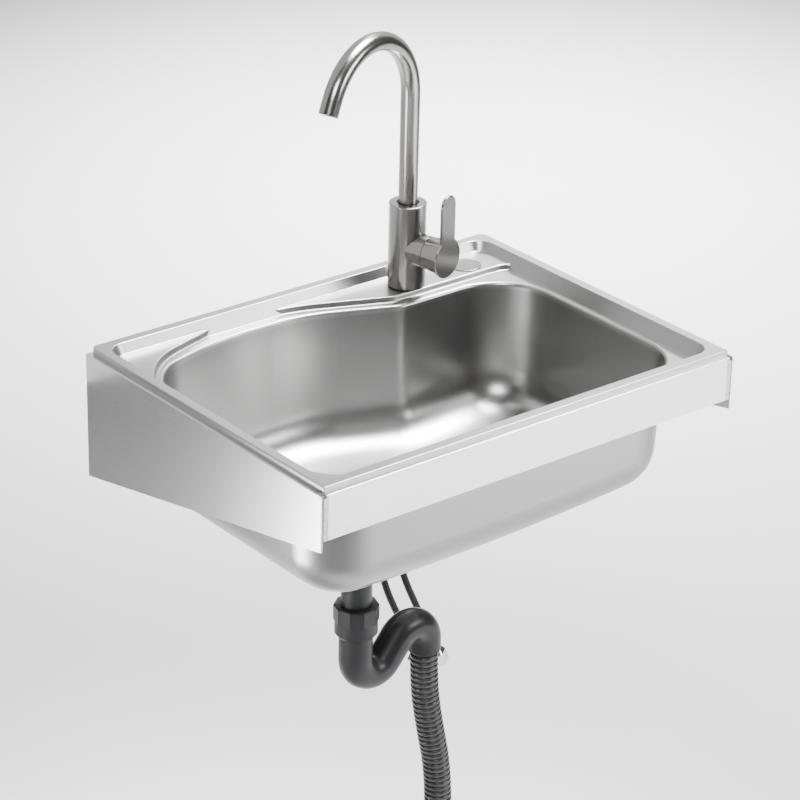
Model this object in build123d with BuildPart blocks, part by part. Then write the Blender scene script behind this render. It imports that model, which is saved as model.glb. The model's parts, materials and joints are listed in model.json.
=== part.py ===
from build123d import *
import math
import os

os.makedirs("parts", exist_ok=True)

# Wall-hung single-bowl kitchen sink with bracket, mixer tap and waste. Sizes in millimetres.
# X runs right along the wall, Y into the wall, Z up; the origin is the centre of the wall bolts.

overrun = 2.0
curve_gap = 0.3
running_gap = 0.05

# bracket
bracket_width = 611.0
bracket_depth = 455.0
bracket_sheet = 1.5
bracket_top = 80.0
side_height = 160.0
side_front_height = 68.0
apron_height = 55.0
bracket_lip = 12.0
wall_flange = 38.0
wall_bolt_inset = 20.5
wall_bolt_z = 55.0
wall_bolt_r = 4.5
rail_height = 40.0
bracket_fillet = 6.0
fold_r = 1.2
corner_gap = 1.0
corner_relief = 4.0

# basin
sink_width = 600.0
sink_depth = 450.0
sink_wall_gap = 1.0
sink_sheet = 1.0
rim_height = 8.0
rim_edge_r = 1.2
rim_border_side = 12.5
rim_border_front = 14.0
rim_border_back = 13.0
rim_back_r = 9.0
recess_corner_r = 22.0
recess_roll_r = 1.6
ledge_drop = 12.0
floor_drop = 19.0
recess_draft = 28.0
step_draft = 14.0
foot_r = 2.0
step_roll_r = 2.0
mouth_roll_r = 4.0
mouth_half_width = 270.0
mouth_front = 419.5
mouth_back = 38.0
mouth_left_back = 72.8
mouth_slant_x = 138.6
tap_deck_front = 88.0
bulge_end_x = 18.0
deck_corner_x = 98.0
mouth_front_r = 72.0
mouth_right_r = 75.0
deck_corner_r = 36.0
bulge_r = 220.0
mouth_slant_r = 300.0
mouth_left_r = 80.0
deck_step_y = 75.0
deck_end_r = 25.0
shelf_back = 20.0
shelf_bulge_x = 32.9
shelf_slant_x = 135.0
shelf_left_x = 284.0
shelf_left_back = 64.0
shelf_bulge_r = 235.0
shelf_left_r = 112.0
bowl_draft = 3.5
bowl_bottom = 106.0
bowl_bottom_r = 54.0
bowl_crown_r = 4050.0

# drain
drain_x = -81.6
drain_y = -235.0
drain_recess_r = 58.0
drain_recess_drop = 3.0
drain_hole_r = 45.0
strainer_flange_r = 56.0
strainer_sheet = 1.2
strainer_cup_r = 42.0
strainer_cup_depth = 46.0
strainer_outlet_r = 22.0
strainer_outlet_length = 20.0
grid_hole_r = 4.0
grid_hole_count = 8
grid_ring_r = 15.0
seal_thickness = 2.0
seal_width = 8.0
lock_nut_r = 55.0
lock_nut_thickness = 9.0
basket_r = 38.0
basket_rim_r = 45.0
basket_depth = 34.0
basket_sheet = 1.5
basket_slot_r = 3.0
basket_slot_count = 16
knob_r = 9.0
knob_stem_r = 4.0
knob_height = 12.0
stopper_r = 30.0
stopper_thickness = 4.0
tail_r = 19.0
tail_wall = 2.5
tail_flange_r = 23.0
tail_flange_thickness = 3.0
coupling_nut_r = 30.0
coupling_nut_height = 21.0
slip_nut_r = 28.0
slip_nut_sides = 10
slip_nut_top = 223.0
slip_nut_height = 21.0
cone_height = 7.0
socket_r = 26.5
socket_bottom = 260.5
socket_cone_height = 6.0
tail_end_depth = 262.0

# trap
trap_turn = 4.7
trap_r = 21.0
trap_wall = 3.0
trap_span = 116.0
trap_bend_r = 27.7
trap_low = 372.4
trap_high = 241.6
trap_outlet = 331.4
outlet_chamfer = 2.5
hose_socket_depth = 19.0

# ribbed waste hose
hose_r = 16.5
hose_groove_r = 14.3
hose_bore_r = 12.5
hose_pitch = 7.5
crest_share = 0.45
flank_share = 0.15
hose_route = ((0, 0), (0.5, -66), (12, -130), (26, -192), (31, -253), (30, -315), (28, -377), (28, -437.6))
seal_top_r = 27.0
seal_tip_r = 19.0
seal_height = 52.0
seal_lip_r = 31.0
seal_lip_height = 5.0
seal_overlap = 20.0
hose_clear = 0.35

# tap
tap_x = 133.3
tap_y = -52.3
tap_hole_r = 17.5
tap_body_r = 23.5
tap_body_height = 108.0
tap_edge_r = 1.2
base_gasket = 2.0
base_gasket_groove = 1.5
spout_turn = 197.0
spout_r = 12.1
spout_wall = 1.5
spout_bend_r = 86.0
spout_bend_z = 326.0
spout_bend_sweep = 154.0
spout_seat_depth = 34.0
bush_r = 14.2
bush_top_drop = 3.0
ring_section_r = 1.3
ring_spacing = 8.0
aerator_r = 12.1
aerator_length = 18.5
aerator_lip = 1.5
aerator_mesh_holes = 12
aerator_hole_r = 0.9
aerator_ring_r = 6.0
stub_turn = -76.0
stub_z = 127.5
stub_r = 20.5
lever_pivot = 47.0
ball_r = 23.3
ball_gap = 0.35
cartridge_r = 17.0
cartridge_start = 10.0
cartridge_face = 17.8
cartridge_nut_face = 8.0
cartridge_nut_dome = 13.6
rotor_r = 9.0
rotor_front = 4.0
stem_width = 8.0
stem_back = 5.0
stem_gap = 0.06
pin_r = 1.5
cap_inner_r = 17.5
cap_flare = 7.0
cap_face = 13.0
cap_cavity_front = 8.0
plate_thickness = 3.0
disc_r = 25.6
lever_width = 28.0
lever_height = 82.0
lever_neck = 34.0
set_screw_r = 1.8
set_screw_length = 7.0
water_way_r = 5.0

# tap fixing
shank_r = 15.5
shank_bore_r = 12.5
shank_length = 48.0
shank_thread_depth = 8.0
deck_washer_r = 19.0
deck_washer_thickness = 3.0
steel_washer_thickness = 1.5
fixing_nut_r = 23.5
fixing_nut_height = 14.0
nipple_r = 4.8
nipple_length = 12.0

# supply hoses
supply_r = 4.8
supply_bore_r = 2.8
supply_spacing = 13.0
supply_top = 84.0
cold_route = ((-6.5, 84), (-6.5, 12), (-14.3, -60), (-29.3, -138), (-39.8, -214), (-38.3, -284),
              (-23.3, -345), (2.2, -400), (26.7, -453))
hot_route = ((6.5, 84), (6.5, 12), (4, -62), (-3.3, -140), (-9.3, -214), (-7.3, -282), (7.7, -342),
             (36.2, -402), (60.7, -458))
ferrule_r = 6.2
ferrule_length = 16.0
union_r = 13.0
union_height = 17.0
union_bore_r = 10.2
union_depth = 11.0

# spare tap hole
cap_x = 231.4
cap_y = -50.0
cap_r = 20.0
cap_height = 1.5
cap_stem_r = 13.0
cap_stem_length = 16.0
cap_nut_r = 21.0
cap_nut_height = 6.0

rim_top = bracket_top + rim_height
ledge_z = rim_top - ledge_drop
floor_z = rim_top - floor_drop
drain_seat_z = -bowl_bottom - drain_recess_drop
half_width = bracket_width / 2
wall_bolt_x = half_width - wall_bolt_inset
recess_width = sink_width - 2 * rim_border_side
sink_front = -sink_wall_gap - sink_depth
deck_under = ledge_z - sink_sheet
body_bottom = ledge_z + base_gasket
body_top = body_bottom + tap_body_height


def upright(x, y, z, turn):
    """A standing plane whose X runs level at this heading, and whose Y is up."""
    angle = math.radians(turn)
    return Plane(
        origin=(x, y, z),
        x_dir=(math.cos(angle), math.sin(angle), 0),
        z_dir=(math.sin(angle), -math.cos(angle), 0),
    )


def route_radii(points):
    """The bend radius of each inner point: 0.45 of the shorter run over the tangent of half the turn."""
    run_share = 0.45
    radii = []
    for before, here, after in zip(points, points[1:], points[2:]):
        first = Vector(*here) - Vector(*before)
        second = Vector(*after) - Vector(*here)
        half_turn = math.radians(first.get_angle(second)) / 2
        radii.append(run_share * min(first.length, second.length) / math.tan(half_turn))
    return radii


# bracket: two side panels, a front apron and a rail at the wall, welded at the corners
def side_panel(side):
    outer = side * half_width
    inner = outer - side * bracket_sheet
    rear = -bracket_sheet
    front = -bracket_depth
    with BuildPart() as panel:
        with BuildSketch(Plane.YZ.offset(min(outer, inner))):
            Polygon(
                (0, bracket_top),
                (0, bracket_top - side_height),
                (front, bracket_top - side_front_height),
                (front, bracket_top),
                align=None,
            )
        extrude(amount=bracket_sheet)
        with BuildSketch(Plane.XY.offset(bracket_top)):
            lip_y = (rear + front + bracket_lip + bracket_sheet) / 2
            with Locations((inner - side * bracket_lip / 2, lip_y)):
                Rectangle(bracket_lip, bracket_depth - bracket_lip - 2 * bracket_sheet)
        extrude(amount=-bracket_sheet)
        with BuildSketch(Plane.XZ):
            with Locations((inner - side * (wall_flange - bracket_sheet) / 2, bracket_top - side_height / 2)):
                RectangleRounded(wall_flange - bracket_sheet, side_height, bracket_fillet)
            with Locations((inner - side * bracket_fillet / 2, bracket_top - side_height / 2)):
                Rectangle(bracket_fillet, side_height)
        extrude(amount=bracket_sheet)
        with BuildSketch(Plane.XZ.offset(-overrun)):
            with Locations((side * wall_bolt_x, wall_bolt_z), (side * wall_bolt_x, -wall_bolt_z)):
                Circle(wall_bolt_r)
        extrude(amount=bracket_sheet + 2 * overrun, mode=Mode.SUBTRACT)
        skin_edges = panel.edges().filter_by_position(Axis.X, outer - running_gap, outer + running_gap)
        top_fold = skin_edges.filter_by(Axis.Y).sort_by(Axis.Z)[-1]
        front_fold = skin_edges.filter_by(Axis.Z).sort_by(Axis.Y)[0]
        fillet([top_fold, front_fold], radius=fold_r)
    return panel.part


side_left = side_panel(-1)
side_left.label = "bracket_side_left"
export_step(side_left, "parts/bracket_side_left.step")
side_right = side_panel(1)
side_right.label = "bracket_side_right"
export_step(side_right, "parts/bracket_side_right.step")

apron_half = half_width - bracket_sheet - corner_gap
relief_x = apron_half - corner_relief / 2
relief_z = bracket_top - corner_relief / 2
with BuildPart() as bracket_apron:
    with BuildSketch(Plane.XZ.offset(bracket_depth - bracket_sheet)):
        with Locations((0, bracket_top - apron_height / 2)):
            Rectangle(2 * apron_half, apron_height)
        with Locations((-relief_x, relief_z), (relief_x, relief_z)):
            Rectangle(corner_relief, corner_relief, mode=Mode.SUBTRACT)
    extrude(amount=bracket_sheet)
    with BuildSketch(Plane.XY.offset(bracket_top)):
        with Locations((0, -bracket_depth + (bracket_sheet + bracket_lip) / 2)):
            Rectangle(2 * (apron_half - corner_relief), bracket_lip + bracket_sheet)
    extrude(amount=-bracket_sheet)
    fillet(bracket_apron.edges().filter_by(Axis.X).group_by(Axis.Z)[-1].sort_by(Axis.Y)[0], radius=fold_r)
bracket_apron.part.label = "bracket_apron"
export_step(bracket_apron.part, "parts/bracket_apron.step")

rail_half = half_width - wall_flange
with BuildPart() as bracket_rail:
    with BuildSketch(Plane.XZ):
        with Locations((0, bracket_top - rail_height / 2)):
            Rectangle(2 * rail_half, rail_height)
    extrude(amount=bracket_sheet)
    with BuildSketch(Plane.XY.offset(bracket_top)):
        with Locations((0, -bracket_lip / 2)):
            Rectangle(2 * rail_half, bracket_lip)
    extrude(amount=-bracket_sheet)
bracket_rail.part.label = "bracket_rail"
export_step(bracket_rail.part, "parts/bracket_rail.step")

# basin: a rim over a recess, a raised tap deck, a lower ledge and a deep bowl, pressed from one sheet
mouth_points = (
    (-mouth_half_width, -mouth_front),
    (mouth_half_width, -mouth_front),
    (mouth_half_width, -tap_deck_front),
    (deck_corner_x, -tap_deck_front),
    (-bulge_end_x, -mouth_back),
    (-mouth_slant_x, -mouth_back),
    (-mouth_half_width, -mouth_left_back),
)
mouth_radii = (
    mouth_front_r,
    mouth_front_r,
    mouth_right_r,
    deck_corner_r,
    bulge_r,
    mouth_slant_r,
    mouth_left_r,
)
low_points = (
    (-shelf_left_x, sink_front),
    (recess_width / 2, sink_front),
    (recess_width / 2, -deck_step_y),
    (deck_corner_x, -deck_step_y),
    (-shelf_bulge_x, -shelf_back),
    (-shelf_slant_x, -shelf_back),
    (-shelf_left_x, -shelf_left_back),
)
low_radii = (
    recess_corner_r,
    recess_corner_r,
    deck_end_r,
    deck_corner_r,
    shelf_bulge_r,
    recess_corner_r,
    shelf_left_r,
)
recess_depth = sink_depth - rim_border_front - rim_border_back
recess_y = -sink_wall_gap - rim_border_back - recess_depth / 2


def crown(x):
    return -bowl_bottom + (x - drain_x) ** 2 / (2 * bowl_crown_r)


def recess(skin, depth):
    """The rectangular recess inside the rim, down to this depth."""
    with BuildPart() as hollow:
        with BuildSketch(Plane.XY.offset(rim_top)):
            with Locations((0, recess_y)):
                RectangleRounded(recess_width + 2 * skin, recess_depth + 2 * skin, recess_corner_r + skin)
        extrude(amount=-(depth + skin), taper=recess_draft)
    return hollow.part


def level_edges(hollow, level, inward):
    """The edges at this height that turn inward, at a lip, or outward, at the foot of a wall."""
    edges = hollow.edges().filter_by_position(Axis.Z, level - running_gap, level + running_gap)
    return edges.filter_by(lambda edge: edge.is_interior == inward)


def pressing(skin):
    """The hollow of the basin, grown by skin: none for the air, the sheet's thickness for the outside."""
    with BuildPart() as low_floor:
        add(recess(skin, floor_drop))
        with BuildSketch(Plane.XY.offset(floor_z - skin)):
            with BuildLine():
                FilletPolyline(*low_points, radius=low_radii, close=True)
            make_face()
            if skin > 0:
                offset(amount=skin)
        extrude(amount=floor_drop - ledge_drop, taper=-step_draft, mode=Mode.INTERSECT)
    with BuildPart() as hollow:
        with BuildSketch(Plane.XY.offset(floor_z - skin)):
            with BuildLine():
                FilletPolyline(*mouth_points, radius=mouth_radii, close=True)
            make_face()
            if skin > 0:
                offset(amount=skin)
        extrude(amount=-(floor_z + bowl_bottom + bowl_bottom_r), taper=bowl_draft)
        edge_x = mouth_half_width + bowl_bottom_r
        with BuildSketch(Plane.XZ):
            with BuildLine():
                ThreePointArc(
                    (-edge_x, crown(-edge_x) - skin),
                    (drain_x, -bowl_bottom - skin),
                    (edge_x, crown(edge_x) - skin),
                )
                Polyline(
                    (edge_x, crown(edge_x) - skin),
                    (edge_x, rim_top),
                    (-edge_x, rim_top),
                    (-edge_x, crown(-edge_x) - skin),
                )
            make_face()
        extrude(amount=sink_depth + bowl_bottom_r, mode=Mode.INTERSECT)
        base_face = hollow.faces().sort_by(Axis.Z)[0]
        fillet(base_face.edges(), radius=bowl_bottom_r + skin)
        add(low_floor.part)
        add(recess(skin, ledge_drop))
        fillet(level_edges(hollow, floor_z - skin, True), radius=mouth_roll_r - skin)
        if skin < foot_r / 2:
            fillet(level_edges(hollow, ledge_z - skin, True), radius=step_roll_r)
            fillet(level_edges(hollow, ledge_z - skin, False), radius=foot_r)
        fillet(level_edges(hollow, floor_z - skin, False), radius=foot_r + skin)
        with BuildSketch(Plane.XY.offset(drain_seat_z - skin)):
            with Locations((drain_x, drain_y)):
                Circle(drain_recess_r + skin)
        extrude(amount=3 * drain_recess_drop)
    return hollow.part


air = pressing(0)
sheet_outside = pressing(sink_sheet)
with BuildPart() as basin:
    with BuildSketch(Plane.XY.offset(bracket_top)):
        with Locations((0, -sink_wall_gap - sink_depth / 2)):
            Rectangle(sink_width, sink_depth)
    extrude(amount=rim_height)
    corners = basin.edges().filter_by(Axis.Z).group_by(Axis.Y)
    fillet(corners[0], radius=bracket_sheet)
    fillet(corners[-1], radius=rim_back_r)
    fillet(basin.faces().sort_by(Axis.Z)[-1].edges(), radius=rim_edge_r)
    offset(amount=-sink_sheet, openings=basin.faces().sort_by(Axis.Z)[0])
    add(sheet_outside)
    add(air, mode=Mode.SUBTRACT)
    fillet(basin.faces().sort_by(Axis.Z)[-1].inner_wires()[0].edges(), radius=recess_roll_r)
    with BuildSketch(Plane.XY.offset(rim_top)):
        with Locations((tap_x, tap_y), (cap_x, cap_y)):
            Circle(tap_hole_r)
    extrude(amount=-rim_height - floor_drop, mode=Mode.SUBTRACT)
    with BuildSketch(Plane.XY.offset(drain_seat_z + drain_recess_drop)):
        with Locations((drain_x, drain_y)):
            Circle(drain_hole_r)
    extrude(amount=-3 * drain_recess_drop, mode=Mode.SUBTRACT)
basin.part.label = "basin"
export_step(basin.part, "parts/basin.step")
print("basin volume", basin.part.volume, "solids", len(basin.part.solids()))

# cover of the spare tap hole, with its nut under the deck
with BuildPart() as hole_cap:
    with BuildSketch(Plane.XY.offset(ledge_z)):
        with Locations((cap_x, cap_y)):
            Circle(cap_r)
    extrude(amount=cap_height)
    fillet(hole_cap.faces().sort_by(Axis.Z)[-1].edges(), radius=cap_height / 2)
    with BuildSketch(Plane.XY.offset(ledge_z)):
        with Locations((cap_x, cap_y)):
            Circle(cap_stem_r)
    extrude(amount=-cap_stem_length)
hole_cap.part.label = "hole_cap"
export_step(hole_cap.part, "parts/hole_cap.step")

with BuildPart() as cap_nut:
    with BuildSketch(Plane.XY.offset(deck_under)):
        with Locations((cap_x, cap_y)):
            RegularPolygon(cap_nut_r, 6, major_radius=False)
            Circle(cap_stem_r, mode=Mode.SUBTRACT)
    extrude(amount=-cap_nut_height)
cap_nut.part.label = "cap_nut"
export_step(cap_nut.part, "parts/cap_nut.step")


def disc_stack(rings):
    """Rings about the drain, each given as lower height, upper height, outer radius and bore radius."""
    with BuildPart() as stack:
        for low, high, outer, bore in rings:
            with BuildSketch(Plane.XY.offset(low)):
                with Locations((drain_x, drain_y)):
                    Circle(outer)
            extrude(amount=high - low)
        for low, high, outer, bore in rings:
            if bore > 0:
                with BuildSketch(Plane.XY.offset(low)):
                    with Locations((drain_x, drain_y)):
                        Circle(bore)
                extrude(amount=high - low, mode=Mode.SUBTRACT)
    return stack.part


# strainer: a flanged cup through the bowl, sealed above and clamped below
flange_z = drain_seat_z + seal_thickness
flange_top = flange_z + strainer_sheet
cup_floor = flange_z - strainer_cup_depth
sheet_below = drain_seat_z - sink_sheet
outlet_end = cup_floor - strainer_sheet - strainer_outlet_length
cup_inner_r = strainer_cup_r - strainer_sheet
outlet_bore_r = strainer_outlet_r - strainer_sheet
with BuildPart() as strainer_body:
    add(
        disc_stack(
            (
                (flange_z, flange_top, strainer_flange_r, cup_inner_r),
                (cup_floor, flange_z, strainer_cup_r, cup_inner_r),
                (cup_floor - strainer_sheet, cup_floor, strainer_cup_r, 0),
                (outlet_end, cup_floor - strainer_sheet, strainer_outlet_r, outlet_bore_r),
            )
        )
    )
    with BuildSketch(Plane.XY.offset(cup_floor + overrun)):
        with Locations((drain_x, drain_y)):
            with PolarLocations(grid_ring_r, grid_hole_count):
                Circle(grid_hole_r)
            Circle(grid_hole_r)
    extrude(amount=-strainer_sheet - 2 * overrun, mode=Mode.SUBTRACT)
strainer_body.part.label = "strainer_body"
export_step(strainer_body.part, "parts/strainer_body.step")

seal_outer_r = strainer_flange_r - strainer_sheet
strainer_seal = disc_stack(((drain_seat_z, flange_z, seal_outer_r, seal_outer_r - seal_width),))
strainer_seal.label = "strainer_seal"
export_step(strainer_seal, "parts/strainer_seal.step")

under_gasket = disc_stack(
    ((sheet_below - seal_thickness, sheet_below, lock_nut_r, strainer_cup_r + curve_gap),)
)
under_gasket.label = "under_gasket"
export_step(under_gasket, "parts/under_gasket.step")

with BuildPart() as lock_nut:
    with BuildSketch(Plane.XY.offset(sheet_below - seal_thickness)):
        with Locations((drain_x, drain_y)):
            RegularPolygon(lock_nut_r, slip_nut_sides)
            Circle(strainer_cup_r + running_gap, mode=Mode.SUBTRACT)
    extrude(amount=-lock_nut_thickness)
lock_nut.part.label = "lock_nut"
export_step(lock_nut.part, "parts/lock_nut.step")

# basket that lifts out, with its knob and its rubber stopper
basket_floor = flange_top - basket_depth
basket_seat = flange_top + basket_sheet
with BuildPart() as strainer_basket:
    add(
        disc_stack(
            (
                (flange_top, basket_seat, basket_rim_r + basket_sheet, basket_r - basket_sheet),
                (basket_floor, flange_top, basket_r, basket_r - basket_sheet),
                (basket_floor - basket_sheet, basket_floor, basket_r, 0),
                (basket_floor, basket_floor + knob_height, knob_stem_r, 0),
                (basket_floor + knob_height, basket_seat, knob_r, 0),
            )
        )
    )
    fillet(strainer_basket.edges().filter_by(GeomType.CIRCLE).filter_by_position(
        Axis.Z, basket_seat - running_gap, basket_seat + running_gap
    ).sort_by(SortBy.RADIUS)[0], radius=basket_sheet)
    with BuildSketch(Plane.XY.offset(basket_floor + overrun)):
        with Locations((drain_x, drain_y)):
            with PolarLocations(basket_r - 3 * basket_slot_r, basket_slot_count):
                Circle(basket_slot_r)
            with PolarLocations(basket_r / 2, basket_slot_count // 2):
                Circle(basket_slot_r)
    extrude(amount=-basket_sheet - 2 * overrun, mode=Mode.SUBTRACT)
    with Locations(Plane((drain_x, drain_y, (basket_floor + flange_top) / 2))):
        with PolarLocations(basket_r, basket_slot_count):
            Box(basket_r / 4, basket_slot_r, basket_depth / 2, mode=Mode.SUBTRACT)
strainer_basket.part.label = "strainer_basket"
export_step(strainer_basket.part, "parts/strainer_basket.step")

stopper_top = basket_floor - basket_sheet
basket_stopper = disc_stack(((stopper_top - stopper_thickness, stopper_top, stopper_r, 0),))
basket_stopper.label = "basket_stopper"
export_step(basket_stopper, "parts/basket_stopper.step")

# tail pipe, hung from the strainer's outlet by its coupling nut
tail_top = outlet_end
tail_pipe = disc_stack(
    (
        (tail_top - tail_flange_thickness, tail_top, tail_flange_r, tail_r - tail_wall),
        (-tail_end_depth, tail_top - tail_flange_thickness, tail_r, tail_r - tail_wall),
    )
)
tail_pipe.label = "tail_pipe"
export_step(tail_pipe, "parts/tail_pipe.step")

nut_shoulder = tail_top - tail_flange_thickness
with BuildPart() as coupling_nut:
    with BuildSketch(Plane.XY.offset(nut_shoulder - tail_flange_thickness)):
        with Locations((drain_x, drain_y)):
            RegularPolygon(coupling_nut_r, slip_nut_sides)
            Circle(tail_r + curve_gap, mode=Mode.SUBTRACT)
    extrude(amount=tail_flange_thickness)
    with BuildSketch(Plane.XY.offset(nut_shoulder)):
        with Locations((drain_x, drain_y)):
            RegularPolygon(coupling_nut_r, slip_nut_sides)
            Circle(tail_flange_r + curve_gap, mode=Mode.SUBTRACT)
    extrude(amount=tail_flange_thickness)
    with BuildSketch(Plane.XY.offset(tail_top)):
        with Locations((drain_x, drain_y)):
            RegularPolygon(coupling_nut_r, slip_nut_sides)
            Circle(strainer_outlet_r + running_gap, mode=Mode.SUBTRACT)
    extrude(amount=coupling_nut_height - 2 * tail_flange_thickness)
coupling_nut.part.label = "coupling_nut"
export_step(coupling_nut.part, "parts/coupling_nut.step")

# slip nut and its cone seal, which grip the tail pipe in the trap's socket
nut_top = -slip_nut_top
nut_base = nut_top - slip_nut_height
thread_r = socket_r - tail_wall
with BuildPart() as slip_nut:
    with BuildSketch(Plane.XY.offset(nut_base)):
        with Locations((drain_x, drain_y)):
            RegularPolygon(slip_nut_r, slip_nut_sides)
    extrude(amount=slip_nut_height)
    chamfer(slip_nut.faces().sort_by(Axis.Z)[-1].edges(), length=tail_wall / 2)
    with BuildSketch(Plane.XY.offset(nut_base)):
        with Locations((drain_x, drain_y)):
            Circle(thread_r + running_gap)
    extrude(amount=slip_nut_height - tail_wall, mode=Mode.SUBTRACT)
    with BuildSketch(Plane.XY.offset(nut_top + overrun)):
        with Locations((drain_x, drain_y)):
            Circle(tail_r + curve_gap)
    extrude(amount=-tail_wall - 2 * overrun, mode=Mode.SUBTRACT)
slip_nut.part.label = "slip_nut"
export_step(slip_nut.part, "parts/slip_nut.step")

cone_top = nut_top - tail_wall
neck_top = cone_top - cone_height
slip_seal = disc_stack(((neck_top, cone_top, thread_r - running_gap, tail_r + running_gap),))
slip_seal.label = "slip_seal"
export_step(slip_seal, "parts/slip_seal.step")

# trap: one S-bend, with a threaded neck at its inlet and a socket for the hose at its outlet
trap_plane = upright(drain_x, drain_y, 0, trap_turn)
outlet_x = drain_x + trap_span * math.cos(math.radians(trap_turn))
outlet_y = drain_y + trap_span * math.sin(math.radians(trap_turn))
hose_start = -trap_outlet + hose_socket_depth
with BuildPart() as trap_body:
    with BuildLine(trap_plane):
        FilletPolyline(
            (0, -socket_bottom), (0, -trap_low), (trap_span, -trap_high), (trap_span, -trap_outlet),
            radius=trap_bend_r,
        )
    with BuildSketch(Plane.XY.offset(-socket_bottom)):
        with Locations((drain_x, drain_y)):
            Circle(trap_r)
    sweep()
    outlet_rim = trap_body.edges().filter_by(GeomType.CIRCLE).filter_by_position(
        Axis.Z, -trap_outlet - running_gap, -trap_outlet + running_gap
    )
    chamfer(outlet_rim, length=outlet_chamfer)
    with BuildSketch(Plane.XY.offset(nut_base)):
        with Locations((drain_x, drain_y)):
            Circle(socket_r)
    extrude(amount=-(socket_bottom + nut_base))
    with BuildSketch(Plane.XY.offset(-socket_bottom)):
        with Locations((drain_x, drain_y)):
            Circle(socket_r)
    extrude(amount=-socket_cone_height, taper=math.degrees(math.atan2(socket_r - trap_r, socket_cone_height)))
    with BuildSketch(Plane.XY.offset(nut_base)):
        with Locations((drain_x, drain_y)):
            Circle(thread_r)
    extrude(amount=neck_top - nut_base)
    with BuildLine(trap_plane):
        FilletPolyline(
            (0, -socket_bottom), (0, -trap_low), (trap_span, -trap_high), (trap_span, -trap_outlet),
            radius=trap_bend_r,
        )
    with BuildSketch(Plane.XY.offset(-socket_bottom)):
        with Locations((drain_x, drain_y)):
            Circle(trap_r - trap_wall)
    sweep(mode=Mode.SUBTRACT)
    with BuildSketch(Plane.XY.offset(neck_top)):
        with Locations((drain_x, drain_y)):
            Circle(tail_r + curve_gap)
    extrude(amount=-(neck_top + tail_end_depth) - tail_wall, mode=Mode.SUBTRACT)
    with BuildSketch(Plane.XY.offset(-trap_outlet)):
        with Locations((outlet_x, outlet_y)):
            Circle(trap_r - outlet_chamfer)
            Circle(hose_r + hose_clear, mode=Mode.SUBTRACT)
    extrude(amount=hose_socket_depth)
trap_body.part.label = "trap_body"
export_step(trap_body.part, "parts/trap_body.step")

# ribbed waste hose, from the trap's socket down to the floor seal
hose_points = [(outlet_x + x, outlet_y, hose_start + z) for x, z in hose_route]
hose_radii = route_radii(hose_points)
print("waste hose radii", [round(radius) for radius in hose_radii])
with BuildLine() as hose_line:
    FilletPolyline(*hose_points, radius=hose_radii)
hose_path = hose_line.wire()
rib_count = round(hose_path.length / hose_pitch)
rib_shares = (
    (0, hose_groove_r),
    (flank_share, hose_r),
    (flank_share + crest_share, hose_r),
    (2 * flank_share + crest_share, hose_groove_r),
)


def across(path, share):
    """The plane square to the path at this share of its length, with a steady X axis."""
    return Plane(origin=path.position_at(share), x_dir=(0, 1, 0), z_dir=path.tangent_at(share))


with BuildPart() as waste_hose:
    for rib in range(rib_count):
        for share, radius in rib_shares:
            with BuildSketch(across(hose_path, (rib + share) / rib_count)):
                Circle(radius)
    with BuildSketch(across(hose_path, 1)):
        Circle(hose_groove_r)
    loft(ruled=True)
    with BuildSketch(across(hose_path, 0)):
        Circle(hose_bore_r)
    sweep(path=hose_path, mode=Mode.SUBTRACT)
waste_hose.part.label = "waste_hose"
export_step(waste_hose.part, "parts/waste_hose.step")
print("waste hose length", hose_path.length, "ribs", rib_count, "volume", waste_hose.part.volume)

hose_end = hose_points[-1]
with BuildPart() as floor_seal:
    with BuildSketch(Plane.XY.offset(hose_end[2] + seal_overlap)):
        with Locations(hose_end[:2]):
            Circle(seal_top_r)
    seal_taper = math.degrees(math.atan2(seal_top_r - seal_tip_r, seal_height))
    extrude(amount=-seal_height, taper=seal_taper)
    with BuildSketch(Plane.XY.offset(hose_end[2] + seal_overlap)):
        with Locations(hose_end[:2]):
            Circle(seal_lip_r)
    extrude(amount=-seal_lip_height)
    with BuildSketch(Plane.XY.offset(hose_end[2])):
        with Locations(hose_end[:2]):
            Circle(hose_r + hose_clear)
    extrude(amount=seal_overlap + overrun, mode=Mode.SUBTRACT)
    with BuildSketch(Plane.XY.offset(hose_end[2] + overrun)):
        with Locations(hose_end[:2]):
            Circle(hose_bore_r)
    extrude(amount=-seal_height, mode=Mode.SUBTRACT)
floor_seal.part.label = "floor_seal"
export_step(floor_seal.part, "parts/floor_seal.step")

# tap body: a standing barrel with a level branch that holds the cartridge
stub_plane = upright(tap_x, tap_y, stub_z, stub_turn)
stub_heading = stub_plane.x_dir
across_stub = -stub_plane.z_dir
branch = Plane(origin=stub_plane.origin, x_dir=across_stub, z_dir=stub_heading)
spout_plane = upright(tap_x, tap_y, 0, spout_turn)
bush_top = body_top - bush_top_drop
spout_seat = body_top - spout_seat_depth
socket_end_r = ball_r + ball_gap


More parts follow.
